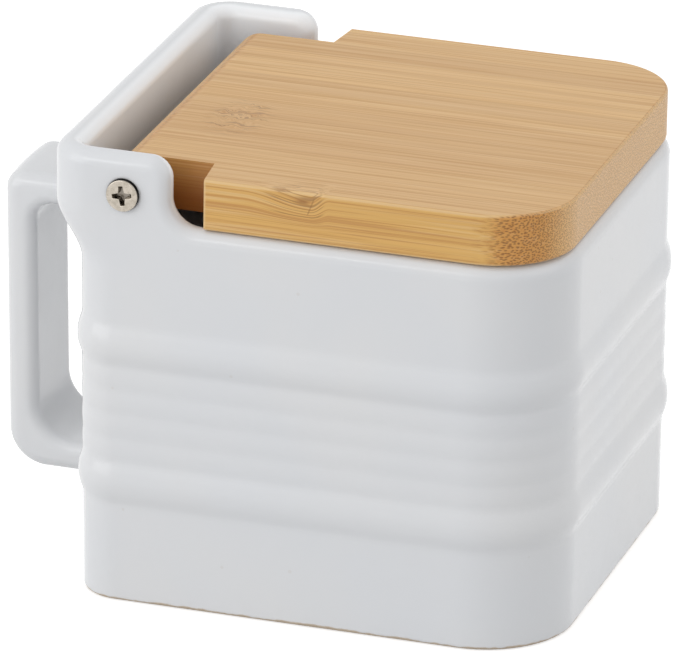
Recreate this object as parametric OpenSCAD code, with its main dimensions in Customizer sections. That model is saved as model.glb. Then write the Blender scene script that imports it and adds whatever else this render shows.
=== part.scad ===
// Ceramic salt box with ears, a strap handle and a hinged bamboo lid.
// The origin is the centre of the foot, on the table: front is -Y, the handle is at +Y.

/* [Crock] */
// Width of the crock across its flat sides
body_w = 111; // [95:1:150]
// Depth of the crock from its front face to its back face
body_d = 117; // [100:1:160]
// Height of the rim above the table
rim_h = 92; // [85:1:140]
// Radius of the upright corners below the hinge wall
corner_r = 21.5; // [16:0.5:28]
// Thickness of the wall, which also sets the round of every free edge
wall_t = 6.6; // [5:0.2:8]
// Thickness of the floor
floor_t = 7; // [5:0.5:12]
// Radius between the inside wall and the floor
floor_fillet_r = 8; // [3:0.5:12]
// Width of the bevel around the outside of the foot
foot_bevel = 0.9; // [0.4:0.1:2]
// Width of the ring that the crock stands on
foot_w = 9; // [5:0.5:14]
// Depth of the hollow inside the foot ring
foot_hollow = 1.6; // [0.8:0.2:3]

/* [Ribs] */
// Height of the lower edge of the lower wide rib
rib_base_z = 24; // [16:0.5:26]
// Height of each wide rib
wide_rib_h = 9.8; // [6:0.2:11]
// How far a wide rib stands out from the wall
wide_rib_proud = 1.2; // [0.4:0.1:2.5]
// Number of fine ribs between the two wide ones
fine_rib_count = 4; // [1:1:4]
// Height of each fine rib
fine_rib_h = 5.85; // [4:0.05:6.5]
// How far a fine rib stands out from the wall
fine_rib_proud = 0.3; // [0.1:0.05:0.8]

/* [Hinge wall] */
// Height of the ears and the back wall above the rim
ear_h = 16; // [14.5:0.5:22]
// Distance from the hinge axis forward to the front edge of an ear
ear_reach = 10.6; // [8:0.2:14]
// Radius at the top front corner of an ear
ear_nose_r = 5.2; // [4.2:0.1:6]
// Radius of the hollow curve where an ear rises from the rim
ear_root_r = 6.5; // [4:0.1:7.5]
// How far the back wall swells out past the back of the crock
back_flare = 2.8; // [0.5:0.1:5]
// Radius of the upright back corners in the hinge wall
back_corner_r = 10; // [8.2:0.1:14]
// Height of the swell that carries the back wall
swell_h = 13; // [10:0.5:22]
// Distance from the hinge axis back to the outer face of the back wall
hinge_setback = 18.7; // [18:0.1:24]

/* [Handle] */
// Width of the handle strap, side to side
strap_w = 26; // [18:0.5:36]
// Thickness of the handle strap
strap_t = 7.5; // [5:0.1:9]
// Radius of the long edges of the strap
strap_edge_r = 2.6; // [1:0.1:3]
// Outside radius of the upper bend
top_bend_r = 4.6; // [4:0.1:14]
// Outside radius of the lower bend
low_bend_r = 9.4; // [4:0.1:14]
// Radius of the upper bend on the inside of the grip
inner_top_r = 4.5; // [1:0.1:8]
// Radius of the lower bend on the inside of the grip
inner_low_r = 9; // [1:0.1:12]
// How far the grip reaches out from the back face of the crock
handle_reach = 28.5; // [22:0.5:40]
// Height of the underside of the lower arm
handle_low_z = 11; // [8:0.2:16]
// Height of the top of the upper arm
handle_high_z = 84.2; // [70:0.2:85]

/* [Lid] */
// Thickness of the lid board
lid_t = 12; // [10:0.5:14]
// How far the lid edge stays inside the outer face of the crock
lid_inset = 1.2; // [0.4:0.1:3]
// Radius of the two front corners of the lid
lid_corner_r = 19; // [12:0.5:24]
// Gap between the lid and the rim when the lid is down
lid_gap = 0.3; // [0.3:0.05:0.6]
// Gap on each side between the tail of the lid and an ear
tail_gap = 5.6; // [3:0.1:7]
// Gap between the shoulder of the lid and the front edge of an ear
shoulder_gap = 6.8; // [6:0.1:10]
// How far the outer end of the shoulder slants forward
shoulder_slant = 1.2; // [0:0.1:3]
// Radius that eases the long edges of the board
lid_edge_r = 0.8; // [0.3:0.1:1.5]
// Height of the hinge axis above the middle of the board
hinge_rise = 0.6; // [0:0.1:1.5]

/* [Pivots] */
// Radius of the screw shank
shank_r = 2; // [1.5:0.1:2.2]
// Radius of the flat screw head
head_r = 3.7; // [3.4:0.1:4.5]
// Thickness of the edge of the head
head_edge_t = 0.5; // [0.3:0.1:1]
// How far the head stands out from the ear
head_proud = 1.3; // [1:0.1:2]
// Length of a screw from head to tip
screw_l = 27; // [20:0.5:32]
// Width of the cross slot in the head
slot_w = 1.2; // [0.7:0.1:1.3]
// Turn of the cross slot from upright
slot_turn = 7; // [0:1:45]
// Outside radius of the bush where it passes through the ear
bush_r = 3.6; // [3:0.1:3.6]
// Outside radius of the collar between the ear and the lid
collar_r = 4; // [3.9:0.1:5.5]
// How deep the outer end of the bush sits in the bore
bush_recess = 1.2; // [0.4:0.1:1.5]

/* [Fits] */
// Clearance around the screw in its bush
run_fit = 0.05; // [0.03:0.01:0.1]
// Clearance around the bush in the ear and the screw in the lid
seat_fit = 0.02; // [0.01:0.01:0.05]
// Play at each end of the bush collar
side_play = 0.15; // [0.1:0.05:0.3]

/* [Hidden] */

half_w = body_w / 2;
half_d = body_d / 2;
edge_r = wall_t / 2;
inner_half_w = half_w - wall_t;
inner_r = corner_r - wall_t;
rib_top_z = rib_base_z + 2 * wide_rib_h + fine_rib_count * fine_rib_h;
rib_lap = 0.2;

ear_top = rim_h + ear_h;
back_y = half_d + back_flare;
hinge_y = back_y - hinge_setback;
lid_mid_z = rim_h + lid_gap + lid_t / 2;
hinge_z = lid_mid_z + hinge_rise;
ear_front = hinge_y - ear_reach;
corner_x = half_w - corner_r;
corner_y = half_d - corner_r;
back_corner_x = half_w - back_corner_r;
back_corner_y = back_y - back_corner_r;
back_inner_r = back_corner_r - wall_t;

swell_top = rim_h - 1;
swell_base = swell_top - swell_h;
swell_lead = 3;
swell_sink = 0.25;
swell_pass = 0.5;
corner_reach = norm([back_corner_x - corner_x, back_corner_y - corner_y]) + back_corner_r - corner_r;

strap_out_y = half_d + handle_reach;
loop_start_y = half_d - 2 * handle_reach;
loop_l = strap_out_y - loop_start_y;
loop_h = handle_high_z - handle_low_z;

lid_w = body_w - 2 * lid_inset;
lid_front = -half_d + lid_inset;
lid_base = rim_h + lid_gap;
tail_half_w = inner_half_w - tail_gap;
shoulder_y = ear_front - shoulder_gap;

head_cone_h = head_r - shank_r;
screw_tip_h = 4;
slot_depth = 1.7;
slot_reach = 2.3;
slot_floor_r = 0.5;
pilot_over = 0.6;
collar_l = tail_gap - 2 * side_play;
bush_bore_r = shank_r + run_fit;
bush_ease = 0.2;
ear_bore_r = bush_r + seat_fit;

ceramic = [0.93, 0.93, 0.94];
bamboo = [0.83, 0.68, 0.48];
nickel = [0.78, 0.76, 0.72];
nylon = [0.1, 0.1, 0.1];

$fn = 64;
eps = 0.01;
over = 5;

// Rectangle about the origin with round corners
module rounded_rect(w, d, r) {
  square([w - 2 * r, d], center = true);
  square([w, d - 2 * r], center = true);
  for (x = [-1, 1], y = [-1, 1])
    translate([x * (w / 2 - r), y * (d / 2 - r)])
      circle(r);
}

// Sweeps a half section around a rounded rectangle and fills the middle
module around(w, d, r, z_low, z_high) {
  side_x = w / 2 - r;
  side_y = d / 2 - r;
  translate([-side_x, -side_y, z_low])
    cube([2 * side_x, 2 * side_y, z_high - z_low]);
  for (k = [0:3]) {
    along = k % 2 == 0 ? side_y : side_x;
    across = k % 2 == 0 ? side_x : side_y;
    rotate(90 * k)
      translate([across, along, 0])
        rotate_extrude(angle = 90)
          children();
    rotate(90 * k)
      translate([across, along, 0])
        rotate([90, 0, 0])
          linear_extrude(2 * along)
            children();
  }
}

// Corner of a square that lies outside a quarter round, for easing an edge
module corner_waste(r) {
  difference() {
    square(r + over);
    circle(r);
  }
}

// Bulge of one rib on the wall section, which laps over its neighbours
module rib(z, h, proud) {
  chord = h + 2 * rib_lap;
  arc_r = (chord * chord / 4 + proud * proud) / (2 * proud);
  intersection() {
    translate([corner_r + proud - arc_r, z + h / 2])
      circle(arc_r, $fn = 180);
    translate([corner_r - edge_r, z - h])
      square([wall_t, 3 * h]);
  }
}

// Section of the solid crock from a corner axis out to its face
module outer_section() {
  difference() {
    union() {
      square([corner_r, rim_h]);
      rib(rib_base_z, wide_rib_h, wide_rib_proud);
      rib(rib_top_z - wide_rib_h, wide_rib_h, wide_rib_proud);
      for (k = [0:fine_rib_count - 1])
        rib(rib_base_z + wide_rib_h + k * fine_rib_h, fine_rib_h, fine_rib_proud);
    }
    translate([corner_r - edge_r, rim_h - edge_r])
      corner_waste(edge_r);
    polygon([
      [corner_r - foot_bevel, -eps],
      [corner_r + eps, -eps],
      [corner_r + eps, foot_bevel],
      [corner_r, foot_bevel]
    ]);
  }
}

// Section of the hollow from a corner axis out to the inside wall
module cavity_section() {
  difference() {
    translate([0, floor_t])
      square([inner_r, rim_h + over - floor_t]);
    translate([inner_r - floor_fillet_r, floor_t + floor_fillet_r])
      mirror([0, 1])
        corner_waste(floor_fillet_r);
  }
  difference() {
    translate([inner_r - eps, rim_h - edge_r])
      square([edge_r + eps, edge_r + over]);
    translate([inner_r + edge_r, rim_h - edge_r])
      circle(edge_r);
  }
}

// Outline of the back half, square in front and round at the back corners
module back_outline(inset, front) {
  half = half_w - inset;
  back = back_y - inset;
  intersection() {
    rounded_rect(2 * half, 2 * back, back_corner_r - inset);
    translate([-half, front])
      square([2 * half, back - front]);
  }
}

// Area under an S curve that leans out by reach between two upright tangents
module s_section(start, reach) {
  arc_r = (reach * reach + swell_h * swell_h) / (4 * reach);
  half_h = swell_h / 2;
  difference() {
    union() {
      polygon([
        [0, 0],
        [start, 0],
        [start + reach / 2, half_h],
        [start + reach, swell_h],
        [0, swell_h]
      ]);
      intersection() {
        translate([start + reach - arc_r, swell_h])
          circle(arc_r);
        translate([0, half_h])
          square([start + reach, half_h]);
      }
    }
    intersection() {
      translate([start + arc_r, 0])
        circle(arc_r);
      translate([start, 0])
        square([reach, half_h]);
    }
  }
}

// What lies outside an S curve, from its sunk start to past its reach
module s_waste(start, reach) {
  difference() {
    translate([start - over, 0])
      square([reach + 2 * over, swell_h]);
    s_section(start - swell_sink, reach + swell_sink + swell_pass);
  }
}

// What lies outside the slope that brings the back out to the back wall
module slope_waste(start, reach) {
  end = start + reach;
  slope_h = swell_h + over;
  lean = (reach + swell_sink + swell_pass) / swell_h;
  polygon([
    [start - swell_sink - lean * over, -over],
    [end + swell_pass + lean * over, slope_h],
    [end + 2 * over, slope_h],
    [end + 2 * over, -over]
  ]);
}

// Swell below the hinge wall, where the round back corners grow square
module back_swell(inset) {
  translate([0, 0, swell_base])
    difference() {
      linear_extrude(swell_h)
        back_outline(inset, corner_y - swell_lead);
      translate([-body_w, 0, 0])
        rotate([90, 0, 90])
          linear_extrude(2 * body_w)
            slope_waste(half_d - inset, back_flare);
      for (side = [0, 1])
        mirror([side, 0, 0])
          translate([corner_x, corner_y, 0])
            rotate_extrude(angle = 90)
              s_waste(corner_r - inset, corner_reach);
    }
}

// Crock as if it were solid, without the hinge wall
module crock_mass() {
  around(body_w, body_d, corner_r, 0, rim_h)
    outer_section();
  back_swell(0);
}

// Hollow of the crock, with the widening behind the lid
module cavity() {
  around(body_w - 2 * wall_t, body_d - 2 * wall_t, inner_r, floor_t, rim_h + over)
    cavity_section();
  back_swell(wall_t);
  translate([0, 0, swell_top])
    linear_extrude(ear_top)
      back_outline(wall_t, corner_y);
}

// Side view of an ear up to the middle line of its round edge
module ear_panel() {
  root = [ear_front - ear_root_r, rim_h + ear_root_r];
  nose = [ear_front + ear_nose_r, ear_top - ear_nose_r];
  front_z = rim_h - ear_root_r;
  difference() {
    union() {
      translate([ear_front + edge_r, swell_top])
        square([back_corner_y - ear_front - edge_r, ear_top - edge_r - swell_top]);
      translate([root[0], front_z])
        square([corner_y - root[0], rim_h - edge_r - front_z]);
      translate([root[0], front_z])
        square([ear_root_r + edge_r, root[1] - front_z]);
    }
    translate(root)
      circle(ear_root_r + edge_r);
    translate(nose)
      mirror([1, 0])
        corner_waste(ear_nose_r - edge_r);
  }
}

// Round edge of an ear, from the rim up its front and back along its top
module ear_edge() {
  root = [0, ear_front - ear_root_r, rim_h + ear_root_r];
  nose = [0, ear_front + ear_nose_r, ear_top - ear_nose_r];
  translate(root)
    rotate([90, 0, 90])
      rotate(-90)
        rotate_extrude(angle = 90)
          translate([ear_root_r + edge_r, 0])
            circle(edge_r);
  translate([0, ear_front + edge_r, root[2]])
    cylinder(h = nose[2] - root[2], r = edge_r);
  translate(nose)
    rotate([90, 0, 90])
      rotate(90)
        rotate_extrude(angle = 90)
          intersection() {
            translate([ear_nose_r - edge_r, 0])
              circle(edge_r);
            translate([0, -edge_r])
              square(2 * ear_nose_r);
          }
  translate([0, nose[1], ear_top - edge_r])
    rotate([-90, 0, 0])
      cylinder(h = back_corner_y - nose[1], r = edge_r);
}

// Upright section of the hinge wall with its round top
module wall_section() {
  translate([0, swell_top])
    square([wall_t, ear_top - edge_r - swell_top]);
  translate([edge_r, ear_top - edge_r])
    circle(edge_r);
}

// Two ears joined by the back wall
module hinge_wall() {
  for (side = [0, 1])
    mirror([side, 0, 0]) {
      translate([inner_half_w, 0, 0])
        rotate([90, 0, 90])
          linear_extrude(wall_t)
            ear_panel();
      translate([half_w - edge_r, 0, 0])
        ear_edge();
      translate([back_corner_x, back_corner_y, 0])
        rotate_extrude(angle = 90)
          translate([back_inner_r, 0])
            wall_section();
    }
  translate([-back_corner_x, back_y - wall_t, 0])
    rotate([90, 0, 90])
      linear_extrude(2 * back_corner_x)
        wall_section();
}

module crock() {
  color(ceramic)
    difference() {
      union() {
        difference() {
          crock_mass();
          cavity();
        }
        hinge_wall();
      }
      for (side = [-1, 1])
        translate([side * half_w, hinge_y, hinge_z])
          rotate([0, 90, 0])
            cylinder(h = 2 * wall_t + over, r = ear_bore_r, center = true);
      translate([0, 0, -eps])
        linear_extrude(foot_hollow + eps)
          rounded_rect(body_w - 2 * foot_w, body_d - 2 * foot_w, corner_r - foot_w);
    }
}

// Half section of the strap loop from a bend axis out, with round long edges
module loop_section(r) {
  difference() {
    translate([0, -strap_w / 2])
      square([r, strap_w]);
    for (flip = [0, 1])
      mirror([0, flip])
        translate([r - strap_edge_r, strap_w / 2 - strap_edge_r])
          corner_waste(strap_edge_r);
  }
}

// Half section of the grip opening from a bend axis out, flared by the round edges
module opening_section(r) {
  translate([0, -strap_w / 2 - over])
    square([r, strap_w + 2 * over]);
  for (flip = [0, 1])
    mirror([0, flip])
      difference() {
        translate([r - eps, strap_w / 2 - strap_edge_r])
          square([strap_edge_r + eps, strap_edge_r + over]);
        translate([r + strap_edge_r, strap_w / 2 - strap_edge_r])
          circle(strap_edge_r);
      }
}

// Upper half of a closed strap loop that starts inside the crock
module half_loop(out_r, in_r) {
  reach = strap_w / 2 + over;
  rotate([90, 0, 90])
    difference() {
      around(loop_l, loop_h, out_r, -strap_w / 2, strap_w / 2)
        loop_section(out_r);
      around(loop_l - 2 * strap_t, loop_h - 2 * strap_t, in_r, -reach, reach)
        opening_section(in_r);
      translate([-loop_l, -2 * loop_h, -reach])
        cube([2 * loop_l, 2 * loop_h, 2 * reach]);
    }
}

module handle() {
  color(ceramic)
    difference() {
      translate([0, (strap_out_y + loop_start_y) / 2, (handle_high_z + handle_low_z) / 2]) {
        half_loop(top_bend_r, inner_top_r);
        mirror([0, 0, 1])
          half_loop(low_bend_r, inner_low_r);
      }
      crock_mass();
    }
}

// Plan of the lid: a wide board with round front corners and a narrower tail
module lid_plan() {
  half = lid_w / 2;
  front_y = lid_front + lid_corner_r;
  translate([0, front_y])
    square([lid_w - 2 * lid_corner_r, 2 * lid_corner_r], center = true);
  for (side = [-1, 1])
    translate([side * (half - lid_corner_r), front_y])
      circle(lid_corner_r);
  polygon([
    [-half, front_y],
    [half, front_y],
    [half, shoulder_y - shoulder_slant],
    [tail_half_w, shoulder_y],
    [tail_half_w, hinge_y + lid_t],
    [-tail_half_w, hinge_y + lid_t],
    [-tail_half_w, shoulder_y],
    [-half, shoulder_y - shoulder_slant]
  ]);
}

// Side view of the lid: a board whose rear end is round about the hinge axis
module lid_side() {
  translate([lid_front, lid_base])
    square([hinge_y - lid_front, lid_t]);
  translate([hinge_y, lid_mid_z])
    circle(lid_t / 2);
}

// Waste outside the eased top and bottom edges at the front and the sides
module lid_edge_waste() {
  half = lid_w / 2;
  for (flip = [0, 1], side = [0, 1])
    translate([0, 0, lid_mid_z])
      mirror([side, 0, 0])
        mirror([0, 0, flip])
          translate([0, 0, lid_t / 2 - lid_edge_r]) {
            translate([half - lid_edge_r, lid_front + lid_corner_r, 0])
              rotate([90, 0, 180])
                mirror([1, 0, 0])
                  linear_extrude(hinge_y - lid_front)
                    corner_waste(lid_edge_r);
            translate([0, lid_front + lid_edge_r, 0])
              rotate([90, 0, 90])
                linear_extrude(half - lid_corner_r)
                  mirror([1, 0])
                    corner_waste(lid_edge_r);
            translate([half - lid_corner_r, lid_front + lid_corner_r, 0])
              rotate(-90)
                rotate_extrude(angle = 90)
                  translate([lid_corner_r - lid_edge_r, 0])
                    corner_waste(lid_edge_r);
          }
}

module lid() {
  color(bamboo)
    difference() {
      intersection() {
        translate([0, 0, lid_base])
          linear_extrude(lid_t)
            lid_plan();
        translate([-half_w, 0, 0])
          rotate([90, 0, 90])
            linear_extrude(body_w)
              lid_side();
      }
      lid_edge_waste();
      for (side = [0, 1])
        mirror([side, 0, 0])
          translate([half_w + head_proud - screw_l - pilot_over, hinge_y, hinge_z])
            rotate([0, 90, 0])
              cylinder(h = screw_l, r = shank_r + seat_fit);
    }
}

// Half section of a screw, its head at the top and its face at zero
module screw_section() {
  polygon([
    [0, 0],
    [head_r, 0],
    [head_r, -head_edge_t],
    [shank_r, -head_edge_t - head_cone_h],
    [shank_r, screw_tip_h - screw_l],
    [0, -screw_l]
  ]);
}

// Cross slot that narrows toward its floor
module cross_slot() {
  intersection() {
    translate([0, 0, -slot_depth])
      cylinder(h = slot_depth + eps, r1 = slot_floor_r, r2 = slot_reach);
    for (turn = [0, 90])
      rotate(slot_turn + turn)
        cube([2 * slot_reach + 1, slot_w, 2 * slot_depth + 1], center = true);
  }
}

module screw() {
  color(nickel)
    translate([half_w + head_proud, hinge_y, hinge_z])
      rotate([0, 90, 0])
        difference() {
          rotate_extrude()
            screw_section();
          cross_slot();
        }
}

// Bush with a collar that keeps the lid midway between the ears
module bush() {
  outer_end = half_w - bush_recess;
  ear_face = inner_half_w - side_play;
  cone_x = half_w + head_proud - head_edge_t;
  cone_r = head_r - (cone_x - outer_end) + 2 * run_fit;
  mouth_r = max(cone_r, bush_bore_r + bush_ease);
  color(nylon)
    translate([0, hinge_y, hinge_z])
      rotate([0, 90, 0])
        rotate_extrude()
          polygon([
            [bush_bore_r, ear_face - collar_l],
            [collar_r, ear_face - collar_l],
            [collar_r, ear_face],
            [bush_r, ear_face],
            [bush_r, outer_end],
            [mouth_r, outer_end],
            [bush_bore_r, outer_end - mouth_r + bush_bore_r]
          ]);
}

crock();
handle();
lid();
mirror([1, 0, 0]) bush();  // left_bush
bush();  // right_bush
mirror([1, 0, 0]) screw();  // left_screw
screw();  // right_screw
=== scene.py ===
"""Looks of a ceramic salt box with a hinged bamboo lid.

Shapes are worked out in millimetres and scaled when their meshes are made. Materials, camera and
lights are in metres. The front is -Y, the handle is on +Y and Z points up.
"""

import math

import bmesh
import bpy
import numpy as np
from mathutils import Matrix, Vector


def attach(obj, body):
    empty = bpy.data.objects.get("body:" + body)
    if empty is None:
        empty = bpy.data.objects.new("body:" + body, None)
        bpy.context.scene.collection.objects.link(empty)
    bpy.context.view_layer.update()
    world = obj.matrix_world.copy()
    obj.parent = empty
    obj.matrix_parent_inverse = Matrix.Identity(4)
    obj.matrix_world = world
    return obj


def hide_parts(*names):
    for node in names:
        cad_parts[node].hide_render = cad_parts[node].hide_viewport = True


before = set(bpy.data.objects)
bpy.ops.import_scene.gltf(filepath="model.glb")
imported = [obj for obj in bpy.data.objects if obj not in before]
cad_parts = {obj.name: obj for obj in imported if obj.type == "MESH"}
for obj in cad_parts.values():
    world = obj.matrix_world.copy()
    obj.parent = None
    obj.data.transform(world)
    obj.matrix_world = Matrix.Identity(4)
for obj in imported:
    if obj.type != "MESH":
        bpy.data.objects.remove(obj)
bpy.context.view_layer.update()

MM = 0.001

# Crock
HALF_W = 55.5
HALF_D = 58.5
RIM_H = 92.0
CORNER_R = 21.5
WALL_T = 6.6
EDGE_R = WALL_T / 2
FLOOR_T = 7.0
FLOOR_FILLET_R = 8.0
BASE_H = 40.0
FOOT_ROUND_R = 1.1
FOOT_W = 9.0
FOOT_HOLLOW = 1.6
FOOT_HOLLOW_R = 0.8

# Ribs: height of the lower edge, height and how far each stands out
WIDE_RIBS = ((24.0, 9.8, 1.2), (57.4, 9.4, 1.15))
FINE_RIBS = ((33.8, 5.85, 0.24), (39.65, 5.85, 0.24), (45.5, 5.85, 0.24), (51.35, 5.85, 0.24))
RIB_LOW, RIB_HIGH = 20.0, 72.0
RIB_STEP = 0.05
RIB_SOFTNESS = 0.6
SOFTNESS_REACH = 3 * RIB_SOFTNESS

# Hinge wall; lean is the slope of the back wall below the swell
EAR_TOP = 107.98
EAR_FRONT = 32.0
EAR_NOSE_R = 5.2
EAR_ROOT_R = 6.5
BACK_TOP_D = 61.3
BACK_D = 55.25
BACK_LEAN = 0.012
BACK_CORNER_R = 10.0
SWELL_BASE = 80.4
SWELL_H = 14.0
HINGE_Y = 42.6
HINGE_Z = 98.9
BORE_R = 3.62
BORE_INNER_R = 2.95
BORE_STEP_X = 52.0
BORE_EASE_R = 0.5
BORE_START = 40.0

# Handle, which leans in a little toward its foot
STRAP_W = 26.0
STRAP_T = 7.5
STRAP_EDGE_R = 3.0
STRAP_CROWN = 0.6
STRAP_OUT_Y = 87.0
STRAP_START_Y = 51.5
STRAP_LOW_Z = 11.0
STRAP_HIGH_Z = 84.2
STRAP_LEAN = 0.015
TOP_BEND_R = 4.6
LOW_BEND_R = 9.4
INNER_TOP_R = 4.5
INNER_LOW_R = 9.0
ROOT_R = 3.6
ROOT_SPLIT = 1.2
CAP_DEPTH = 2.0

# Screws, from the flat face of the head inward
HEAD_PROUD = 1.3
FACE_X = HALF_W + HEAD_PROUD
HEAD_R = 3.7
HEAD_EDGE = 0.5
HEAD_DOME = 0.12
HEAD_EASE = 0.15
SHANK_R = 2.0
SHANK_START = 1.0
SCREW_L = 27.0
TIP_H = 4.0
TIP_SLANT = TIP_H / math.hypot(TIP_H, SHANK_R)

# Cross recess, whose arms narrow outward and with depth
SLOT_W = 1.25
SLOT_REACH = 2.35
SLOT_DEPTH = 1.7
SLOT_TAPER = 0.1
SLOT_FLOOR_SLOPE = 0.5
SLOT_CORE = 1.0
SLOT_FLARE = 1.25
SLOT_POINT = 0.22
SLOT_EASE = 0.1
SLOT_TURN = math.radians(-7)

# Bushes: distance from the middle plane and radius along the profile
BUSH_SIDES = 48
BUSH_PROFILE = (
    (43.45, 2.05), (43.45, 2.9), (52.1, 2.9), (52.1, 3.58), (54.3, 3.58), (54.3, 2.25), (54.1, 2.05),
)
BUSH_SHARP_ANGLE = 0.5

# Meshing: grid steps, and the bands beside faces and bores that have fine steps
NET_STEP = 1.25
FINE_STEP = 0.3
NET_MARGIN = 1.5
FACE_BAND_IN = 1.2
FACE_BAND_OUT = 0.6
BORE_BAND = 1.2
SCREW_STEP = 0.14
SHANK_STEP = 0.6
SCREW_MARGIN = 1.0
HEAD_MARGIN = 0.5
RELAX_ROUNDS = 3
SETTLE_ROUNDS = 2
SLOPE_STEP = 0.02
LEAST_SLOPE_SQUARED = 0.25

# In the materials, colours are linear. A noise is its scale per metre along X, Y and Z, detail,
# roughness and shift. A span is the low and high end of the values that it reads and, unless they
# turn into 0 and 1, what they turn into. A bump is its depth and strength.
NOISE_MEAN = 0.5

# Glaze, with painted light on the inner faces of the ears and back wall, and the clay of the bare foot
GLAZE_COOL = (0.745, 0.76, 0.785, 1)
GLAZE_WARM = (0.77, 0.775, 0.785, 1)
PAINTED_LIGHT_INSIDE = (0.945, 0.965, 0.99, 1)
CLAY_PALE = (0.66, 0.56, 0.44, 1)
CLAY_DARK = (0.48, 0.38, 0.28, 1)
CLOUD_NOISE = ((22, 22, 22), 2.0)
CLOUD_SPAN = (0.3, 0.7)
LIT_INSIDE_BY_FACING = (-0.03, -0.005, 1.0, 0.0)
LIT_INSIDE_BY_HEIGHT = (0.085, 0.09)
RAGGED_NOISE = ((300, 300, 300),)
RAGGED_SPAN = (0.2, 0.8, -0.0003, 0.0003)
BARE_SPAN = (0.0006, 0.0010, 1.0, 0.0)
CLAY_NOISE = ((900, 900, 900),)
CLAY_ROUGH = 0.85
SPECKS_PER_M = (90, 90, 90)
SPECK_SPAN = (0.03, 0.045, 0.12, 0.0)
SHEEN_NOISE = ((60, 60, 60),)
GLAZE_ROUGH_SPAN = (0.3, 0.7, 0.16, 0.22)
RIPPLE_NOISE = ((130, 130, 130), 3.0, 0.45)
RIPPLE_BUMP = (0.0002, 0.35)
GLAZE_SPECULAR = 0.4
COAT_WEIGHT = 0.1
COAT_ROUGH = 0.08

# Bamboo along the grain, with a painted sheen on the top face
BAMBOO_PALE = (0.765, 0.46, 0.137, 1)
BAMBOO_MID = (0.675, 0.39, 0.115, 1)
BAMBOO_DEEP = (0.51, 0.235, 0.065, 1)
SHEEN_TOP_TINT = (1.0, 1.05, 1.45, 1)
SHEEN_TOP_SPAN = (0.7, 0.95)
STRIP_W = 0.0085
BROAD_NOISE = ((260, 4, 260), 3.0, 0.6)
BROAD_SPAN = (0.4, 0.75, 0.0, 0.35)
STREAK_NOISE = ((1100, 16, 1100), 2.0, 0.6, (0.7, 2.3, 5.1))
STREAK_SPAN = (0.5, 0.7, 0.0, 0.5)
FIBRE_NOISE = ((2200, 14, 2200), 3.0, 0.6)
FIBRE_SPAN = (0.49, 0.62, 0.0, 0.65)
SOFT_TOP_SPAN = (0.5, 1.0, 1.0, 0.75)
BAMBOO_ROUGH_SPAN = (0.3, 0.7, 0.36, 0.5)
FIBRE_BUMP = (0.0001, 0.3)

# Bamboo's pale streak colour, which is also painted along the edges as highlights, and painted shade on the
# sides of its tail
BAMBOO_PALE_STREAK_AND_HIGHLIGHT = (0.80, 0.56, 0.28, 1)
BAMBOO_TAIL_SHADE = (0.33, 0.10, 0.012, 1)
SIDE_HIGHLIGHT_SPAN = (0.2, 0.48, 0.0, 0.75)
SHOULDER_HIGHLIGHT_Y_SPAN = (0.0234, 0.0238)
SHOULDER_HIGHLIGHT_X_SPAN = (0.05, 0.052)
SHOULDER_HIGHLIGHT_FACE_SPAN = (0.8, 1.0, 0.0, 0.7)
END_EDGE_HIGHLIGHT_SPAN = (0.25, 0.45, 0.0, 0.55)
TAIL_SHADE_FACE_SPAN = (0.8, 1.0)
TAIL_SHADE_X_SPAN = (0.0445, 0.0465, 1.0, 0.0)
TAIL_SHADE_Z_SPAN = (0.095, 0.104, 0.95, 0.45)

# Bamboo's end grain, where the fibre bundles show as dots, with a painted sheen on the flat ends
BAMBOO_END = (0.61, 0.24, 0.04, 1)
BAMBOO_END_FACE_SHEEN = (0.86, 0.58, 0.28, 1)
BAMBOO_DOT = (0.19, 0.07, 0.015, 1)
END_SPAN = (0.1, 0.45)
SQUARE_END_SPAN = (0.6, 1.0, 1.0, 0.6)
END_SHARE = 0.6
END_FACE_SHEEN_SPAN = (0.75, 1.0, 0.0, 0.55)
BUNDLES_PER_M = 2200.0
DOT_SPAN = (0.15, 0.5, 1.0, 0.0)
DOT_SHARE_SPAN = (0.0, 1.0, 0.06, 0.75)

# Bamboo's two culm nodes: middle, reach below and reach above it along each axis
BAMBOO_NODE = (0.28, 0.115, 0.03, 1)
SIDE_NODE = ((-0.0543, 0.004, 0.009), (-0.001, 0.0045, 0.016), (0.1010, 0.006, 0.0085))
TOP_NODE = ((-0.012, 0.018, 0.016), (0.0295, 0.010, 0.011), (0.1043, 0.003, 0.001))
SIDE_NODE_DIP = 0.0026
TOP_NODE_JITTER = 0.007
JITTER_NOISE = ((420, 420, 420), 1.0)
MARK_NOISE = ((900, 30, 900), 1.0, 0.5, (3.1, 1.7, 0.4))
MARK_SPAN = (0.005, 0.04, 1.0, 0.0)
MARK_NEAR_SPAN = (0.05, 0.5, 0.0, 0.65)
CREASE_Y = -0.0002
CREASE_Z = (0.0988, 0.1036)
CREASE_FADE = (0.0008, 0.0012)
CREASE_LEAN = -0.38
CREASE_SPAN = (0.0001, 0.00026, 1.0, 0.0)
CREASE_X_SPAN = (-0.0535, -0.0525, 1.0, 0.0)
CREASE_FACE_SPAN = (0.7, 0.9, 0.0, 0.45)

# Nickel, with painted shade in the recess and on the head's edge
NICKEL_PALE = (0.51, 0.46, 0.395, 1)
NICKEL_DARK = (0.40, 0.36, 0.30, 1)
NICKEL_PAINTED_SHADE = (0.14, 0.125, 0.11, 1)
WEAR_NOISE = ((900, 900, 900), 3.0, 0.6)
WEAR_SPAN = (0.35, 0.7)
RECESS_SHADE_SPAN = (0.0558, 0.0566, 0.7, 0.0)
NICKEL_ROUGH_SPAN = (0.3, 0.7, 0.2, 0.3)
WEAR_BUMP = (0.00002, 0.15)

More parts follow.
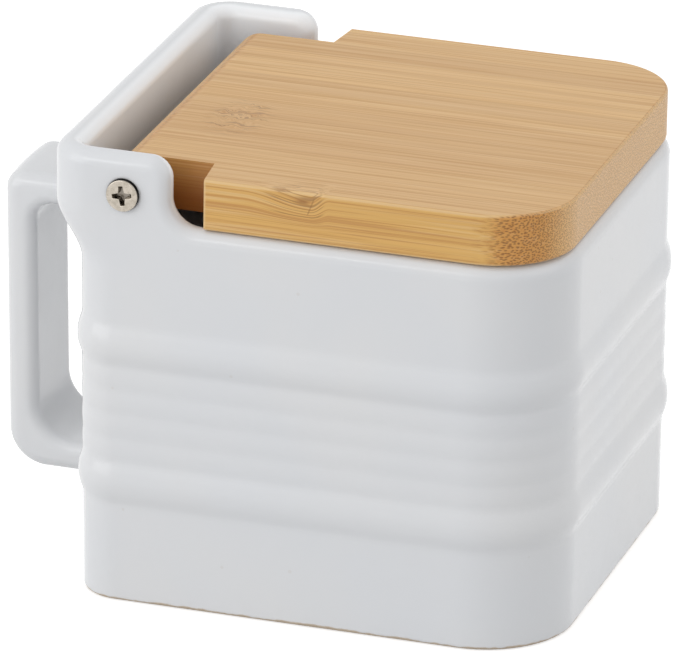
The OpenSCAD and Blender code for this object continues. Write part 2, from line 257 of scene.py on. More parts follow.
# Nylon
NYLON_PALE = (0.03, 0.03, 0.03, 1)
NYLON_DARK = (0.018, 0.018, 0.018, 1)
NYLON_NOISE = ((3000, 3000, 3000),)
NYLON_SPAN = (0.3, 0.7)
NYLON_ROUGH_SPAN = (0.3, 0.7, 0.45, 0.6)
NYLON_BUMP = (0.00005, 0.3)

# Camera, solved from the lid, ears and base in the photo; angles in degrees
CAMERA_AT = (-1.724976, -0.537459, 0.761704)
CAMERA_AZIMUTH = -72.424
CAMERA_ELEVATION = 21.463
CAMERA_ROLL = 0.94
SENSOR_MM = 36.0
FOCAL_PX = 8441.93
PHOTO_W_PX = 679
CLIP_END = 50

# Light and floor
WHITE = (1, 1, 1, 1)
AMBIENT = 0.64
FLOOR_COLOUR = (0.68, 0.68, 0.68, 1)
FLOOR_LIFT = 0.62
FLOOR_SIZE = 8.0
FLOOR_GAP = 0.0001
LIGHT_TARGET = (0, 0, 0.05)

# Soft lights: name, azimuth and elevation in degrees, distance, size, watts
SOFTBOXES = (
    ("left_box", -135, 20, 1.3, (1.1, 1.1), 5.3),
    ("strip_box", -108, 31, 1.3, (0.8, 0.08), 0.8),
    ("front_box", -5, 30, 1.3, (0.9, 0.9), 1.4),
    ("right_box", 45, 52, 1.2, (0.9, 0.9), 1.1),
    ("top_box", -115, 70, 1.1, (0.4, 0.9), 0.3),
)


class Graph:
    """Short-hand for building a material's node tree."""

    def __init__(self, name):
        self.material = bpy.data.materials.new(name)
        self.material.use_nodes = True
        self.nodes = self.material.node_tree.nodes
        self.links = self.material.node_tree.links
        self.shader = self.nodes["Principled BSDF"]
        self.place = self.nodes.new("ShaderNodeTexCoord")
        self.source = self.place.outputs["Object"]

    def add(self, kind, inputs=None, **settings):
        """New node with its settings and inputs, each a value or another node's output."""
        node = self.nodes.new(kind)
        for key, value in settings.items():
            setattr(node, key, value)
        for key, value in (inputs or {}).items():
            self.feed(node.inputs[key], value)
        return node

    def feed(self, socket, value):
        """Links another node's output to a socket, or sets the socket to a value."""
        if isinstance(value, bpy.types.NodeSocket):
            self.links.new(value, socket)
        else:
            socket.default_value = value

    def apart(self, vector):
        """X, Y and Z of a vector."""
        return self.add("ShaderNodeSeparateXYZ", {"Vector": vector}).outputs

    def stretched(self, scale, shift=(0, 0, 0)):
        """Position on the object, scaled per axis."""
        node = self.add("ShaderNodeMapping", {"Vector": self.source})
        node.inputs["Scale"].default_value = scale
        node.inputs["Location"].default_value = shift
        return node.outputs["Vector"]

    def noise(self, scale, detail=2.0, rough=0.5, shift=(0, 0, 0)):
        """Noise with its own scale on each axis, about NOISE_MEAN."""
        inputs = {"Vector": self.stretched(scale, shift), "Scale": 1.0, "Detail": detail, "Roughness": rough}
        return self.add("ShaderNodeTexNoise", inputs).outputs["Fac"]

    def math(self, operation, a, b=0.0):
        """Result of one operation on one or two values."""
        node = self.add("ShaderNodeMath", operation=operation)
        self.feed(node.inputs[0], a)
        self.feed(node.inputs[1], b)
        return node.outputs[0]

    def product(self, first, *others):
        """Product of two or more values."""
        for value in others:
            first = self.math("MULTIPLY", first, value)
        return first

    def span(self, value, low, high, to_low=0.0, to_high=1.0):
        """Value spread smoothly from one range to another."""
        inputs = {"Value": value, "From Min": low, "From Max": high, "To Min": to_low, "To Max": to_high}
        node = self.add("ShaderNodeMapRange", inputs, interpolation_type="SMOOTHSTEP")
        return node.outputs["Result"]

    def blend(self, factor, a, b, how="MIX"):
        """Colour that passes from a to b as the factor goes from 0 to 1."""
        node = self.add("ShaderNodeMix", data_type="RGBA", blend_type=how)
        self.feed(node.inputs["Factor"], factor)
        self.feed(node.inputs["A"], a)
        self.feed(node.inputs["B"], b)
        return node.outputs["Result"]

    def bump(self, height, depth, strength):
        """Fine relief of the surface."""
        inputs = {"Height": height, "Distance": depth, "Strength": strength}
        node = self.add("ShaderNodeBump", inputs)
        self.links.new(node.outputs["Normal"], self.shader.inputs["Normal"])

    def finish(self, colour, rough, **fixed):
        """Finished material; fixed values are named as the shader's inputs, with _ for a space."""
        self.feed(self.shader.inputs["Base Color"], colour)
        self.feed(self.shader.inputs["Roughness"], rough)
        for key, value in fixed.items():
            self.shader.inputs[key.replace("_", " ")].default_value = value
        return self.material


def painted_light_inner_faces(g, at):
    """1 on the inner faces of the ears and the back wall, where painted light makes the glaze whiter."""
    normal = g.apart(g.place.outputs["Normal"])
    outward = g.math("ADD", g.product(at["X"], normal["X"]), g.product(at["Y"], normal["Y"]))
    return g.product(g.span(outward, *LIT_INSIDE_BY_FACING), g.span(at["Z"], *LIT_INSIDE_BY_HEIGHT))


def ceramic_material():
    """White glaze over clay, uneven by a hair, with painted light on the inner faces of the ears and back
    wall, and a bare biscuit foot.
    """
    g = Graph("glazed_ceramic")
    at = g.apart(g.place.outputs["Object"])
    colour = g.blend(g.span(g.noise(*CLOUD_NOISE), *CLOUD_SPAN), GLAZE_COOL, GLAZE_WARM)
    # Painted light: the inner faces above the rim are whiter and cooler, standing in for light that the lid
    # shuts out.
    colour = g.blend(painted_light_inner_faces(g, at), colour, PAINTED_LIGHT_INSIDE)
    ragged = g.math("ADD", at["Z"], g.span(g.noise(*RAGGED_NOISE), *RAGGED_SPAN))
    bare = g.span(ragged, *BARE_SPAN)
    clay = g.blend(g.noise(*CLAY_NOISE), CLAY_DARK, CLAY_PALE)
    colour = g.blend(bare, colour, clay)
    speck = g.add("ShaderNodeTexVoronoi", {"Vector": g.stretched(SPECKS_PER_M), "Scale": 1.0})
    colour = g.blend(g.span(speck.outputs["Distance"], *SPECK_SPAN), colour, CLAY_DARK)
    glaze_rough = g.span(g.noise(*SHEEN_NOISE), *GLAZE_ROUGH_SPAN)
    rough = g.math("MAXIMUM", glaze_rough, g.product(bare, CLAY_ROUGH))
    g.bump(g.noise(*RIPPLE_NOISE), *RIPPLE_BUMP)
    return g.finish(colour, rough, Specular_IOR_Level=GLAZE_SPECULAR, Coat_Weight=COAT_WEIGHT,
                    Coat_Roughness=COAT_ROUGH)


def node_bell(g, at, spot):
    """1 at a culm node and 0 past its reach."""
    slopes = []
    for axis, (middle, low, high) in zip("XYZ", spot):
        slopes.append(g.span(at[axis], middle - low, middle))
        slopes.append(g.span(at[axis], middle, middle + high, 1.0, 0.0))
    return g.product(*slopes)


def swerved(g, at, side_bell, top_bell):
    """Position on the object with the fibres pushed aside at the nodes."""
    jitter = g.math("SUBTRACT", g.noise(*JITTER_NOISE), NOISE_MEAN)
    x = g.math("ADD", at["X"], g.product(jitter, top_bell, TOP_NODE_JITTER))
    z = g.math("ADD", at["Z"], g.product(side_bell, SIDE_NODE_DIP))
    return g.add("ShaderNodeCombineXYZ", {"X": x, "Y": at["Y"], "Z": z}).outputs["Vector"]


def long_grain(g, at, face, fibre):
    """Colour of strips along Y, paled on top by a painted sheen, with broad streaks, and pale and fine dark
    ones that are softer on top.
    """
    strip = g.math("FLOOR", g.math("DIVIDE", at["X"], STRIP_W))
    tone = g.add("ShaderNodeTexWhiteNoise", {"W": strip}, noise_dimensions="1D").outputs["Value"]
    colour = g.blend(tone, BAMBOO_MID, BAMBOO_PALE)
    # Painted sheen: the top face is made paler and less saturated, standing in for the white reflection it
    # takes.
    colour = g.blend(g.span(face["Z"], *SHEEN_TOP_SPAN), colour, SHEEN_TOP_TINT, "MULTIPLY")
    colour = g.blend(g.span(g.noise(*BROAD_NOISE), *BROAD_SPAN), colour, BAMBOO_DEEP)
    soft = g.span(face["Z"], *SOFT_TOP_SPAN)
    streak = g.product(g.span(g.noise(*STREAK_NOISE), *STREAK_SPAN), soft)
    # The same pale colour is real grain here, in the streaks; along the edges it is a painted highlight.
    colour = g.blend(streak, colour, BAMBOO_PALE_STREAK_AND_HIGHLIGHT)
    return g.blend(g.product(g.span(fibre, *FIBRE_SPAN), soft), colour, BAMBOO_DEEP)


def painted_edge_highlights(g, at, face, colour):
    """Painted highlights: paler long edges, and a paler upright edge where the board steps in to its tail.
    """
    colour = g.blend(g.span(g.product(face["X"], face["Z"]), *SIDE_HIGHLIGHT_SPAN), colour, BAMBOO_PALE_STREAK_AND_HIGHLIGHT)
    from_middle = g.math("ABSOLUTE", at["X"])
    shoulder_highlight = g.product(g.span(at["Y"], *SHOULDER_HIGHLIGHT_Y_SPAN), g.span(from_middle, *SHOULDER_HIGHLIGHT_X_SPAN),
                         g.span(face["X"], *SHOULDER_HIGHLIGHT_FACE_SPAN))
    return g.blend(shoulder_highlight, colour, BAMBOO_PALE_STREAK_AND_HIGHLIGHT)


def end_grain(g, face, colour):
    """Fibre bundles as dots on the front and back ends and round the corners, with a painted sheen on the
    flat ends and a painted highlight along the edge.
    """
    open_grain = g.product(g.span(face["Y"], *END_SPAN), g.span(face["Y"], *SQUARE_END_SPAN))
    across = g.apart(g.source)
    flat = g.add("ShaderNodeCombineXYZ", {"X": across["X"], "Y": across["Z"]}).outputs["Vector"]
    bundle = g.add("ShaderNodeTexVoronoi", {"Vector": flat, "Scale": BUNDLES_PER_M}, voronoi_dimensions="2D")
    dots = g.span(bundle.outputs["Distance"], *DOT_SPAN)
    colour = g.blend(g.product(open_grain, END_SHARE), colour, BAMBOO_END)
    # Painted sheen: the flat ends are paler than the rounded corners, standing in for the glancing
    # reflection they take.
    colour = g.blend(g.span(face["Y"], *END_FACE_SHEEN_SPAN), colour, BAMBOO_END_FACE_SHEEN)
    colour = g.blend(g.product(dots, g.span(open_grain, *DOT_SHARE_SPAN)), colour, BAMBOO_DOT)
    # Painted highlight along the top and bottom edges of the ends.
    return g.blend(g.span(g.product(face["Y"], face["Z"]), *END_EDGE_HIGHLIGHT_SPAN), colour, BAMBOO_PALE_STREAK_AND_HIGHLIGHT)


def node_marks(g, side_bell, top_bell):
    """Short dark lines where the fibres cross a node."""
    from_line = g.math("ABSOLUTE", g.math("SUBTRACT", g.noise(*MARK_NOISE), NOISE_MEAN))
    near = g.span(g.math("MAXIMUM", top_bell, side_bell), *MARK_NEAR_SPAN)
    return g.product(g.span(from_line, *MARK_SPAN), near)


def node_crease(g, at, face):
    """Short upright crease where the fibres of the near side end at the node."""
    low, high = CREASE_Z
    fade_in, fade_out = CREASE_FADE
    lean = g.product(g.math("SUBTRACT", at["Z"], low), CREASE_LEAN)
    off = g.math("ABSOLUTE", g.math("SUBTRACT", g.math("SUBTRACT", at["Y"], CREASE_Y), lean))
    rise = g.span(at["Z"], low, low + fade_in)
    fall = g.span(at["Z"], high - fade_out, high, 1.0, 0.0)
    near_side = g.product(g.span(at["X"], *CREASE_X_SPAN), g.span(face["X"], *CREASE_FACE_SPAN))
    return g.product(g.span(off, *CREASE_SPAN), rise, fall, near_side)


def painted_tail_shade(g, at, face):
    """1 where painted shade darkens the sawn sides of the tail beside the ears, less toward the top."""
    from_middle = g.math("ABSOLUTE", at["X"])
    return g.product(g.span(face["X"], *TAIL_SHADE_FACE_SPAN), g.span(from_middle, *TAIL_SHADE_X_SPAN),
                     g.span(at["Z"], *TAIL_SHADE_Z_SPAN))


def bamboo_material():
    """Laminated bamboo board with its grain along Y and two culm nodes, with painted sheen, highlights and
    shade.
    """
    g = Graph("bamboo")
    at = g.apart(g.place.outputs["Object"])
    normal = g.apart(g.place.outputs["Normal"])
    face = {axis: g.math("ABSOLUTE", normal[axis]) for axis in "XYZ"}
    side_bell = node_bell(g, at, SIDE_NODE)
    top_bell = node_bell(g, at, TOP_NODE)
    g.source = swerved(g, at, side_bell, top_bell)
    fibre = g.noise(*FIBRE_NOISE)
    colour = long_grain(g, at, face, fibre)
    colour = painted_edge_highlights(g, at, face, colour)
    colour = end_grain(g, face, colour)
    colour = g.blend(node_marks(g, side_bell, top_bell), colour, BAMBOO_NODE)
    colour = g.blend(node_crease(g, at, face), colour, BAMBOO_NODE)
    # Painted shade: the tail's sides darken toward the bottom, standing in for the shadow of the ears and
    # the narrow gap.
    colour = g.blend(painted_tail_shade(g, at, face), colour, BAMBOO_TAIL_SHADE)
    g.bump(fibre, *FIBRE_BUMP)
    return g.finish(colour, g.span(fibre, *BAMBOO_ROUGH_SPAN))


def nickel_material():
    """Nickel plated steel, faintly worn, with painted shade in the recess and on the head's edge."""
    g = Graph("nickel_steel")
    wear = g.noise(*WEAR_NOISE)
    colour = g.blend(g.span(wear, *WEAR_SPAN), NICKEL_PALE, NICKEL_DARK)
    from_middle = g.math("ABSOLUTE", g.apart(g.place.outputs["Object"])["X"])
    # Painted shade: darker below the face of the head, in the cross recess and on the head's edge.
    colour = g.blend(g.span(from_middle, *RECESS_SHADE_SPAN), colour, NICKEL_PAINTED_SHADE)
    g.bump(wear, *WEAR_BUMP)
    return g.finish(colour, g.span(wear, *NICKEL_ROUGH_SPAN), Metallic=1.0)


def nylon_material():
    """Black nylon with a fine moulded grain."""
    g = Graph("nylon")
    grain = g.noise(*NYLON_NOISE)
    colour = g.blend(g.span(grain, *NYLON_SPAN), NYLON_PALE, NYLON_DARK)
    g.bump(grain, *NYLON_BUMP)
    return g.finish(colour, g.span(grain, *NYLON_ROUGH_SPAN))


FINISH = {
    "glazed_ceramic": ceramic_material(),
    "bamboo": bamboo_material(),
    "nickel_steel": nickel_material(),
    "nylon": nylon_material(),
}


def rounded_box(x, y, half_x, half_y, r):
    """Signed distance to a rectangle with round corners."""
    qx = np.abs(x) - half_x + r
    qy = np.abs(y) - half_y + r
    outside = np.hypot(np.maximum(qx, 0), np.maximum(qy, 0))
    return outside + np.minimum(np.maximum(qx, qy), 0) - r


def join(a, b, r):
    """Union of two fields with a fillet of radius r."""
    return np.maximum(np.minimum(a, b), r) - np.hypot(np.maximum(r - a, 0), np.maximum(r - b, 0))


def meet(a, b, r):
    """Intersection of two fields with its edge rounded to radius r."""
    return -join(-a, -b, r)


def rib_profile():
    """Heights and how far the ribbed wall stands out there, softened as a glaze does."""
    z = np.arange(RIB_LOW, RIB_HIGH, RIB_STEP)
    out = np.zeros_like(z)
    for low, height, proud in WIDE_RIBS + FINE_RIBS:
        half = height / 2
        out = np.maximum(out, proud * (1 - ((z - low - half) / half) ** 2))
    reach = np.arange(-SOFTNESS_REACH, SOFTNESS_REACH, RIB_STEP)
    weight = np.exp(-(reach / RIB_SOFTNESS) ** 2 / 2)
    return z, np.convolve(out, weight / weight.sum(), "same")


RIB_Z, RIB_OUT = rib_profile()


def plan_field(x, y, z):
    """Distance from the outside of the wall, with tighter corners and a swell at the back."""
    t = np.clip((z - SWELL_BASE) / SWELL_H, 0, 1)
    back_d = BACK_D - BACK_LEAN * np.maximum(SWELL_BASE - z, 0)
    back_d = back_d + (BACK_TOP_D - BACK_D) * t * t * (3 - 2 * t)
    half_y = np.where(y > 0, back_d, HALF_D)
    r = np.where(y > 0, BACK_CORNER_R, CORNER_R)
    return rounded_box(x, y, HALF_W, half_y, r)


def outline_field(y, z):
    """Distance above the middle line of the wall's free edge, from the rim up over the ears."""
    nose = EAR_NOSE_R - EDGE_R
    qy = EAR_FRONT + EDGE_R - y + nose
    qz = z - EAR_TOP + EDGE_R + nose
    ear = np.hypot(np.maximum(qy, 0), np.maximum(qz, 0)) + np.minimum(np.maximum(qy, qz), 0) - nose
    return join(z - RIM_H + EDGE_R, ear, EAR_ROOT_R + EDGE_R)


def shell_field(x, y, z):
    """Signed distance to the crock before its foot and bores are cut."""
    plan = plan_field(x, y, z)
    wall = np.hypot(plan + EDGE_R, np.maximum(outline_field(y, z), 0)) - EDGE_R
    cavity = meet(plan + WALL_T, FLOOR_T - z, FLOOR_FILLET_R)
    base = np.maximum(np.maximum(plan, -cavity), z - BASE_H)
    ribs = np.maximum(plan - np.interp(z, RIB_Z, RIB_OUT), -plan - EDGE_R)
    ribs = np.maximum(ribs, np.maximum(RIB_LOW - z, z - RIB_HIGH))
    return np.minimum(np.minimum(wall, base), ribs)


def crock_field(x, y, z):
    """Signed distance to the crock without its handle."""
    body = meet(shell_field(x, y, z), -z, FOOT_ROUND_R)
    inset = plan_field(x, y, 0) + FOOT_W
    body = meet(body, -np.maximum(inset, z - FOOT_HOLLOW), FOOT_HOLLOW_R)
    from_hinge = np.hypot(y - HINGE_Y, z - HINGE_Z)
    body = np.maximum(body, -np.maximum(from_hinge - BORE_INNER_R, BORE_START - np.abs(x)))
    bore = np.maximum(from_hinge - BORE_R, BORE_STEP_X - np.abs(x))
    return meet(body, -bore, BORE_EASE_R)


def strap_field(x, y, z):
    """Signed distance to the handle strap, from inside the wall out and back."""
    low_y = 2 * STRAP_START_Y - STRAP_OUT_Y
    mid_y, mid_z = (low_y + STRAP_OUT_Y) / 2, (STRAP_LOW_Z + STRAP_HIGH_Z) / 2
    half_y, half_z = (STRAP_OUT_Y - low_y) / 2, (STRAP_HIGH_Z - STRAP_LOW_Z) / 2
    away_y = y + STRAP_LEAN * (STRAP_HIGH_Z - z) - mid_y
    bend_r = np.where(z > mid_z, TOP_BEND_R, LOW_BEND_R)
    crown = STRAP_CROWN * (2 * x / STRAP_W) ** 2
    outer = rounded_box(away_y, z - mid_z, half_y, half_z, bend_r) + crown
    inner_r = np.where(z > mid_z, INNER_TOP_R, INNER_LOW_R)
    inner = rounded_box(away_y, z - mid_z, half_y - STRAP_T, half_z - STRAP_T, inner_r)
    side = np.abs(x) - STRAP_W / 2
    strap = np.maximum(meet(outer, side, STRAP_EDGE_R), meet(-inner, side, STRAP_EDGE_R))
    return np.maximum(strap, STRAP_START_Y - y)


def pottery_field(x, y, z):
    """Signed distance to the crock with its handle luted on."""
    return join(crock_field(x, y, z), strap_field(x, y, z), ROOT_R)


def slot_field(a, b, deep):
    """Signed distance to the tapering cross recess at a depth below the face."""
    half = SLOT_W / 2 - SLOT_TAPER * deep
    reach = SLOT_REACH - SLOT_FLOOR_SLOPE * deep
    a, b = np.abs(a), np.abs(b)
    arms = np.minimum(
        np.maximum(a - half * (SLOT_FLARE - SLOT_POINT * b), b - reach),
        np.maximum(b - half * (SLOT_FLARE - SLOT_POINT * a), a - reach),
    )
    core = (a + b) * math.sqrt(0.5) - SLOT_CORE
    return np.maximum(np.minimum(arms, core), deep - SLOT_DEPTH)


def screw_field(x, y, z):
    """Signed distance to the right screw."""
    deep = FACE_X - x
    p, q = y - HINGE_Y, z - HINGE_Z
    radius = np.hypot(p, q)
    cone = (radius + deep - HEAD_R - HEAD_EDGE) * math.sqrt(0.5)
    head = np.maximum(radius - HEAD_R, cone)
    tip = (radius - SHANK_R + (deep - SCREW_L + TIP_H) * SHANK_R / TIP_H) * TIP_SLANT
    shank = np.maximum(np.maximum(radius - SHANK_R, tip), SHANK_START - deep)
    face = HEAD_DOME * (radius / HEAD_R) ** 2 - deep
    body = meet(np.minimum(head, shank), face, HEAD_EASE)
    c, s = math.cos(SLOT_TURN), math.sin(SLOT_TURN)
    return meet(body, -slot_field(c * p + s * q, c * q - s * p, deep), SLOT_EASE)


def slope(field, points):
    """Gradient of a field at each point."""
    parts = []
    for step in SLOPE_STEP * np.eye(3):
        parts.append(field(*(points + step).T) - field(*(points - step).T))
    return np.stack(parts, axis=1) / (2 * SLOPE_STEP)


def settle(field, points):
    """Moves points along the slope onto the surface."""
    for _ in range(SETTLE_ROUNDS):
        g = slope(field, points)
        size = np.maximum((g * g).sum(axis=1), LEAST_SLOPE_SQUARED)
        points = points - g * (field(*points.T) / size)[:, None]
    return points


def relaxed(points, quads):
    """Each point at the mean of its neighbours."""
    a, b = quads.ravel(), np.roll(quads, -1, axis=1).ravel()
    n = len(points)
    count = np.bincount(a, minlength=n) + np.bincount(b, minlength=n)
    total = [np.bincount(a, points[b, k], n) + np.bincount(b, points[a, k], n) for k in range(3)]
    return np.stack(total, axis=1) / count[:, None]


def crossing_means(value, cells, corner):
    """Mean of the points where the surface crosses the edges of each cell, in grid steps."""
    total = np.zeros((len(cells), 3))
    count = np.zeros(len(cells))
    for axis, side in enumerate(np.eye(3, dtype=int)):
        for start in corner:
            if start[axis]:
                continue
            a = value[tuple((cells + start).T)]
            b = value[tuple((cells + start + side).T)]
            cut = (a < 0) != (b < 0)
            t = np.where(cut, a / np.where(cut, a - b, 1), 0)
            total += cut[:, None] * (start + t[:, None] * side)
            count += cut
    return total / count[:, None]


def net_quads(inside, index):
    """Quads around each grid edge that the surface crosses, facing outwards."""
    side = np.eye(3, dtype=int)
    quads = []
    for axis in range(3):
        u, v = (axis + 1) % 3, (axis + 2) % 3
        low = [slice(None)] * 3
        high = [slice(None)] * 3
        low[axis], high[axis] = slice(None, -1), slice(1, None)
        at = np.argwhere(inside[tuple(low)] != inside[tuple(high)])
        ring = [at, at - side[u], at - side[u] - side[v], at - side[v]]
        quad = np.stack([index[tuple(r.T)] for r in ring], axis=1)
        out = ~inside[tuple(at.T)]
        quad[out] = quad[out][:, ::-1]
        quads.append(quad)
    return np.concatenate(quads)


def grid_line(low, high, step, fine_spans=(), fine_step=None):
    """Grid positions along one axis, closer together inside the fine spans."""
    at = [low]
    while at[-1] < high:
        near = any(a < at[-1] < b for a, b in fine_spans)
        at.append(at[-1] + (fine_step if near else step))
    return np.array(at)


def surface_net(field, axes):
    """Smooth quad mesh of a field on a grid: points, quads and the slope at each point."""
    value = field(*np.meshgrid(*axes, indexing="ij"))
    inside = value < 0
    corner = np.array([(i, j, k) for i in (0, 1) for j in (0, 1) for k in (0, 1)])
    size = np.array(value.shape) - 1
    count = sum(inside[i:i + size[0], j:j + size[1], k:k + size[2]].astype(int) for i, j, k in corner)
    mixed = (count > 0) & (count < len(corner))
    cells = np.argwhere(mixed)
    index = np.zeros(mixed.shape, dtype=int)
    index[mixed] = np.arange(len(cells))
    place = cells + crossing_means(value, cells, corner)
    points = np.stack([np.interp(p, np.arange(len(line)), line) for p, line in zip(place.T, axes)], axis=1)
    quads = net_quads(inside, index)
    points = settle(field, points)
    for _ in range(RELAX_ROUNDS):
        points = settle(field, relaxed(points, quads))
    normals = slope(field, points)
    return points, quads, normals / np.linalg.norm(normals, axis=1)[:, None]


def add_object(name, data):
    """New object in the scene."""
    item = bpy.data.objects.new(name, data)
    bpy.context.scene.collection.objects.link(item)
    return item


def close_cuts(mesh):
    """Closes open edges with a shallow cone that stays within the crock's wall."""
    work = bmesh.new()
    work.from_mesh(mesh)
    open_edges = [e for e in work.edges if e.is_boundary]
    caps = bmesh.ops.holes_fill(work, edges=open_edges, sides=0)["faces"]
    for middle in bmesh.ops.poke(work, faces=caps)["verts"]:
        middle.co.y -= CAP_DEPTH * MM
    work.to_mesh(mesh)
    work.free()


def net_piece(name, points, quads, normals):
    """Object made from a net or a part of one, shaded by the slope of its field."""
    used, faces = np.unique(quads, return_inverse=True)
    mesh = bpy.data.meshes.new(name)
    mesh.from_pydata((points[used] * MM).tolist(), [], faces.reshape(-1, 4).tolist())
    close_cuts(mesh)
    mesh.shade_smooth()
    unset = np.zeros((len(mesh.vertices) - len(used), 3))
    mesh.normals_split_custom_set_from_vertices(np.concatenate((normals[used], unset)).tolist())
    return add_object(name, mesh)


def pottery_axes():
    """Grid of the crock and its handle, fine at the ears' faces, the bores and the foot."""
    left_face = (-HALF_W - FACE_BAND_OUT, -HALF_W + FACE_BAND_IN)
    right_face = (HALF_W - FACE_BAND_IN, HALF_W + FACE_BAND_OUT)
    reach = BORE_R + BORE_BAND
    bore_y = (HINGE_Y - reach, HINGE_Y + reach)
    bore_z = (HINGE_Z - reach, HINGE_Z + reach)
    foot = (-FINE_STEP, FOOT_HOLLOW + FINE_STEP)
    half_w = HALF_W + 2 * NET_MARGIN
    front = -HALF_D - 2 * NET_MARGIN
    return (
        grid_line(-half_w, half_w, NET_STEP, (left_face, right_face), FINE_STEP),
        grid_line(front, STRAP_OUT_Y + NET_MARGIN, NET_STEP, (bore_y,), FINE_STEP),
        grid_line(-NET_MARGIN, EAR_TOP + NET_MARGIN, NET_STEP, (foot, bore_z), FINE_STEP),
    )


def build_pottery():
    """Crock and handle as two pieces that share one continuous glazed surface."""
    points, quads, normals = surface_net(pottery_field, pottery_axes())
    middle = points[quads].mean(axis=1)
    on_handle = (crock_field(*middle.T) > ROOT_SPLIT) & (middle[:, 1] > BACK_D)
    crock = net_piece("crock_glazed", points, quads[~on_handle], normals)
    handle = net_piece("handle_glazed", points, quads[on_handle], normals)
    for piece, node in ((crock, "crock"), (handle, "handle")):
        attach(piece, "crock_body")
        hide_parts(node)
        piece.data.materials.append(FINISH["glazed_ceramic"])


def build_screws():
    """Both screws with crisp cross recesses; the left one mirrors the right."""
    reach = HEAD_R + 2 * SCREW_STEP
    head = ((FACE_X - HEAD_R, FACE_X + SCREW_MARGIN),)
    axes = (
        grid_line(FACE_X - SCREW_L - SCREW_MARGIN, FACE_X + HEAD_MARGIN, SHANK_STEP, head, SCREW_STEP),
        grid_line(HINGE_Y - reach, HINGE_Y + reach, SCREW_STEP),
        grid_line(HINGE_Z - reach, HINGE_Z + reach, SCREW_STEP),
    )
    points, quads, normals = surface_net(screw_field, axes)
    for side, sign in (("right", 1), ("left", -1)):
        name = side + "_screw"
        mirror = np.array((sign, 1, 1))
        piece = net_piece(name + "_fine", points * mirror, quads[:, ::sign], normals * mirror)
        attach(piece, "lid_body")
        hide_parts(name)
        piece.data.materials.append(FINISH["nickel_steel"])


def bush_mesh(name, sign):
    """Sleeve turned about the hinge axis, on the right for sign 1 and the left for -1."""
    points = []
    for k in range(BUSH_SIDES):
        a = 2 * math.pi * k / BUSH_SIDES
        points += [(sign * x * MM, (HINGE_Y + r * math.cos(a)) * MM, (HINGE_Z + r * math.sin(a)) * MM)
                   for x, r in BUSH_PROFILE]
    n = len(BUSH_PROFILE)
    faces = []
    for k in range(BUSH_SIDES):
        row, after = k * n, (k + 1) % BUSH_SIDES * n
        for i in range(n):
            j = (i + 1) % n
            faces.append((row + i, row + j, after + j, after + i)[::-sign])
    mesh = bpy.data.meshes.new(name)
    mesh.from_pydata(points, [], faces)
    mesh.shade_smooth()
    mesh.set_sharp_from_angle(angle=BUSH_SHARP_ANGLE)
    return mesh


def build_bushes():
    """Both bushes as plain sleeves with a slim collar."""
    for side, sign in (("right", 1), ("left", -1)):
        name = side + "_bush"
        piece = add_object(name + "_fine", bush_mesh(name + "_fine", sign))
        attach(piece, "crock_body")
        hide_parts(name)
        piece.data.materials.append(FINISH["nylon"])


def dress_lid():
    """Puts the bamboo on the lid, the one CAD node that stays."""
    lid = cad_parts["lid"]
    lid.data.materials.clear()
    lid.data.materials.append(FINISH["bamboo"])


def direction(azimuth, elevation):
    """Unit vector away from the box, from angles in radians; azimuth 0 is the front."""
    level = math.cos(elevation)
    return Vector((math.sin(azimuth) * level, -math.cos(azimuth) * level, math.sin(elevation)))


def add_camera():
    """Camera that sees the box as the photo does."""
    azimuth, elevation, roll = (math.radians(v) for v in (CAMERA_AZIMUTH, CAMERA_ELEVATION, CAMERA_ROLL))
    back = direction(azimuth, elevation)
    level = (-back).cross(Vector((0, 0, 1))).normalized()
    lift = level.cross(-back)
    right = math.cos(roll) * level + math.sin(roll) * lift
    up = math.cos(roll) * lift - math.sin(roll) * level
    data = bpy.data.cameras.new("camera")
    data.sensor_width = SENSOR_MM
    data.lens = FOCAL_PX / PHOTO_W_PX * SENSOR_MM
    data.clip_end = CLIP_END
    camera = add_object("camera", data)
    camera.matrix_world = Matrix.Translation(CAMERA_AT) @ Matrix((right, up, back)).transposed().to_4x4()
    bpy.context.scene.camera = camera


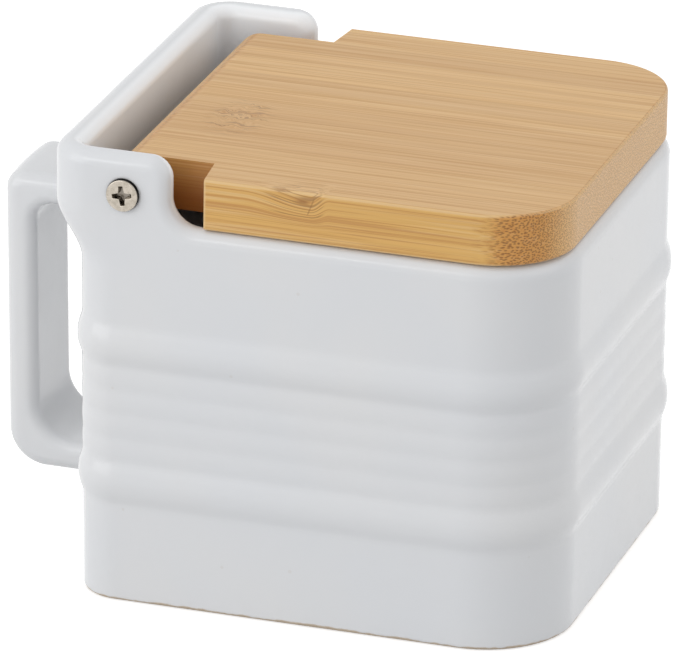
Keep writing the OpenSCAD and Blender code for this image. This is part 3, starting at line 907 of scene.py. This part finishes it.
def add_softbox(name, azimuth, elevation, distance, size, watts):
    """Soft area light that faces the middle of the box."""
    back = direction(math.radians(azimuth), math.radians(elevation))
    data = bpy.data.lights.new(name, "AREA")
    data.shape = "RECTANGLE"
    data.size, data.size_y = size
    data.energy = watts
    light = add_object(name, data)
    light.location = Vector(LIGHT_TARGET) + back * distance
    light.rotation_mode = "QUATERNION"
    light.rotation_quaternion = (-back).to_track_quat("-Z", "Y")


def seen_directly(tree):
    """1 for camera, glossy and transmission rays."""
    path = tree.nodes.new("ShaderNodeLightPath")
    total = path.outputs["Is Camera Ray"]
    for name in ("Is Glossy Ray", "Is Transmission Ray"):
        node = tree.nodes.new("ShaderNodeMath")
        node.operation = "MAXIMUM"
        tree.links.new(total, node.inputs[0])
        tree.links.new(path.outputs[name], node.inputs[1])
        total = node.outputs[0]
    return total


def add_world():
    """White surroundings that light the box less than they show."""
    world = bpy.data.worlds.new("studio")
    world.use_nodes = True
    bpy.context.scene.world = world
    tree = world.node_tree
    backdrop = tree.nodes["Background"]
    mix = tree.nodes.new("ShaderNodeMix")
    mix.inputs["A"].default_value = AMBIENT
    mix.inputs["B"].default_value = 1.0
    tree.links.new(seen_directly(tree), mix.inputs["Factor"])
    tree.links.new(mix.outputs["Result"], backdrop.inputs["Strength"])
    backdrop.inputs["Color"].default_value = WHITE


def add_floor():
    """White floor that keeps a soft shadow, a hair below the foot."""
    bpy.ops.mesh.primitive_plane_add(size=FLOOR_SIZE, location=(0, 0, -FLOOR_GAP))
    floor = bpy.context.object
    floor.name = "floor"
    material = bpy.data.materials.new("floor")
    material.use_nodes = True
    tree = material.node_tree
    shader = tree.nodes["Principled BSDF"]
    shader.inputs["Base Color"].default_value = FLOOR_COLOUR
    shader.inputs["Roughness"].default_value = 1.0
    shader.inputs["Specular IOR Level"].default_value = 0.0
    shader.inputs["Emission Color"].default_value = WHITE
    lift = tree.nodes.new("ShaderNodeMath")
    lift.operation = "MULTIPLY"
    lift.inputs[1].default_value = FLOOR_LIFT
    tree.links.new(seen_directly(tree), lift.inputs[0])
    tree.links.new(lift.outputs[0], shader.inputs["Emission Strength"])
    floor.data.materials.append(material)


add_camera()
add_world()
add_floor()
for softbox in SOFTBOXES:
    add_softbox(*softbox)
bpy.context.scene.view_settings.view_transform = "Standard"

build_pottery()
build_screws()
build_bushes()
dress_lid()
